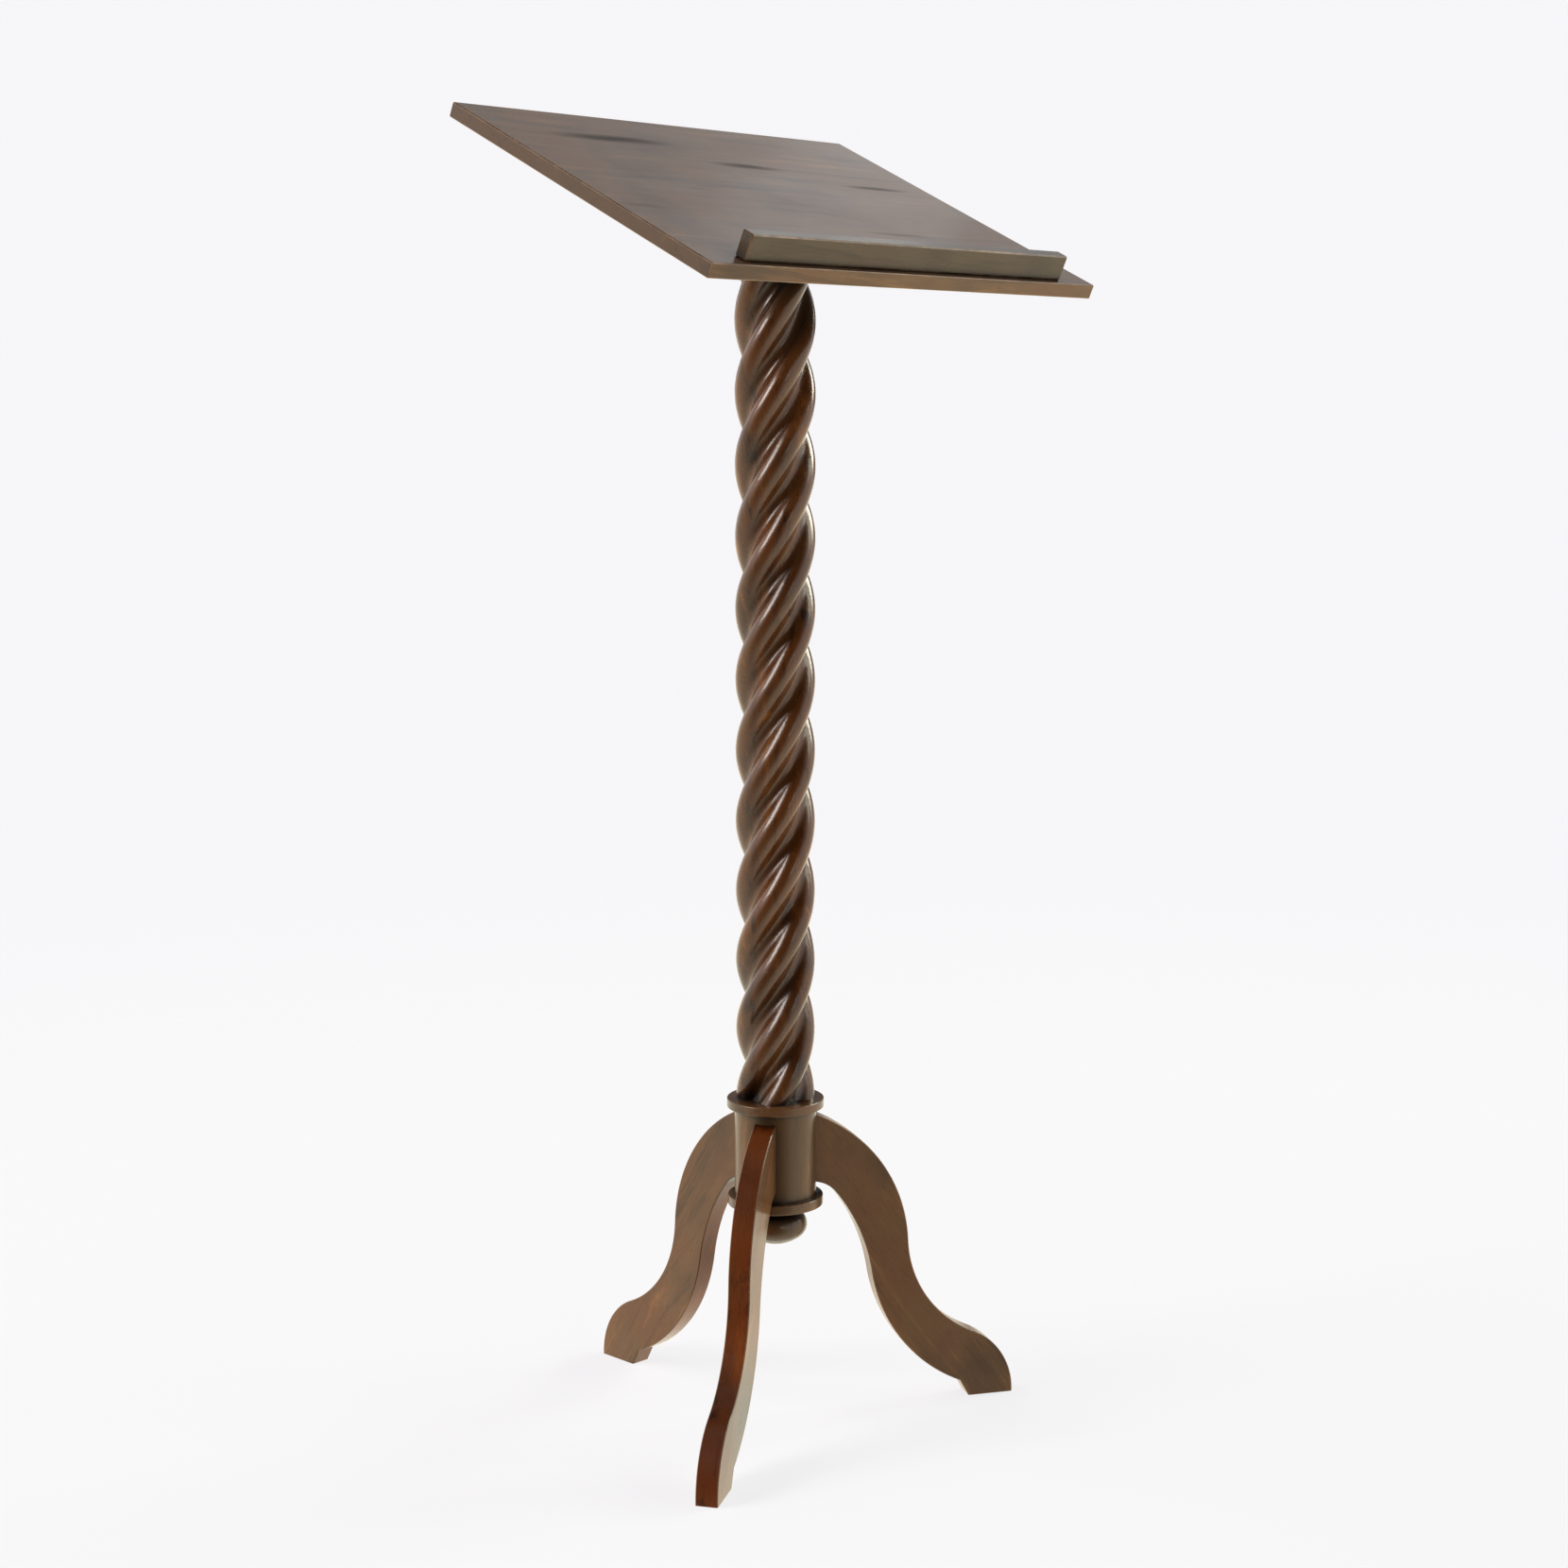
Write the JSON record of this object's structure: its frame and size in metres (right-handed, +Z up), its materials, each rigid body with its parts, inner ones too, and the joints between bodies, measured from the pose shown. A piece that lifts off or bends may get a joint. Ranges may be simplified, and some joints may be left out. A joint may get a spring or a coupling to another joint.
{
  "type": "photo album stand",
  "caption": "Floor-standing wooden album stand with a tilting, ledged desk on a barley-twist column and three S-curved legs.",
  "frame": {"origin": "where the column's axis meets the floor", "axes": "+Z up along the column, the desk's ledge faces -Y, +X to the reader's right seen from the front"},
  "size_m": [0.4664, 0.3921, 1.1564],
  "materials": {
    "desk_wood": "glossy dark walnut varnish",
    "column_wood": "glossy dark walnut varnish",
    "base_wood": "satin dark walnut varnish",
    "dowel_wood": "bare beech",
    "brass": "aged brass",
    "steel": "zinc plated",
    "leather": "matt"
  },
  "bodies": {
    "stand": {"head_pin": "dowel_wood", "rod_insert": "brass", "finial_insert": "brass", "tie_rod": "steel", "tie_washer": "steel", "tie_nut": "steel", "head_block": "column_wood", "column": "column_wood", "collar_upper": "base_wood", "hub": "base_wood", "collar_lower": "base_wood", "finial": "base_wood", "leg_back": "base_wood", "leg_left": "base_wood", "leg_right": "base_wood"},
    "desk": {"board": "desk_wood", "ledge": "desk_wood", "ledge_dowels": "dowel_wood", "cheek_left": "desk_wood", "cheek_right": "desk_wood", "cheek_screws": "brass", "pivot_bolt": "brass", "friction_discs": "leather", "pivot_washer": "brass"},
    "knob": {"clamp_knob": "brass"}
  },
  "joints": [
    {"name": "desk_tilt", "type": "hinge", "parent": "stand", "child": "desk", "pos_m": [0, 0, 1.0583], "axis": [1, 0, 0], "range_deg": [-25, 30]},
    {"name": "knob_turn", "type": "hinge", "parent": "desk", "child": "knob", "pos_m": [0.037, 0, 1.0583], "axis": [1, 0, 0], "range_deg": [0, 360]}
  ]
}
